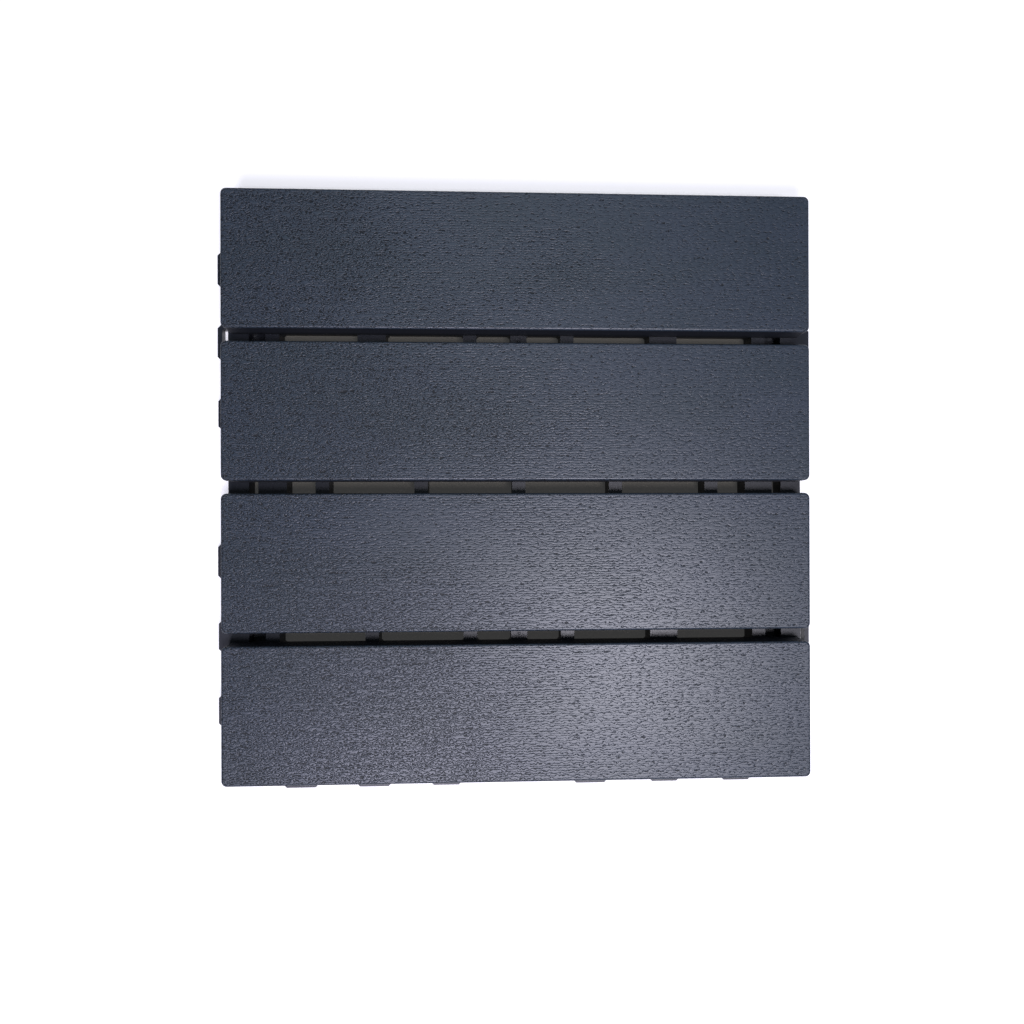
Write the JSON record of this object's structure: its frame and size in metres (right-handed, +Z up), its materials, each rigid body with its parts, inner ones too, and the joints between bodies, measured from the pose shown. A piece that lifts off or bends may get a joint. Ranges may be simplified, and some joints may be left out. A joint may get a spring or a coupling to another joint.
{
  "type": "interlocking deck tile",
  "caption": "Square plastic deck tile: ribbed open slats with a wood grain face, snapped on to a lattice base with pegs and loops along every edge that join it to its neighbours",
  "frame": {"origin": "on the ground under the middle of the tile", "axes": "X along the slats, Y across them, Z up out of the walking face"},
  "size_m": [0.3154, 0.3154, 0.025],
  "materials": {
    "slat_plastic": "moulded polypropylene with a fine wood grain",
    "base_plastic": "smooth moulded polypropylene"
  },
  "bodies": {
    "root": {"base_grid": "base_plastic", "slat_1": "slat_plastic", "slat_2": "slat_plastic", "slat_3": "slat_plastic", "slat_4": "slat_plastic"}
  },
  "joints": []
}
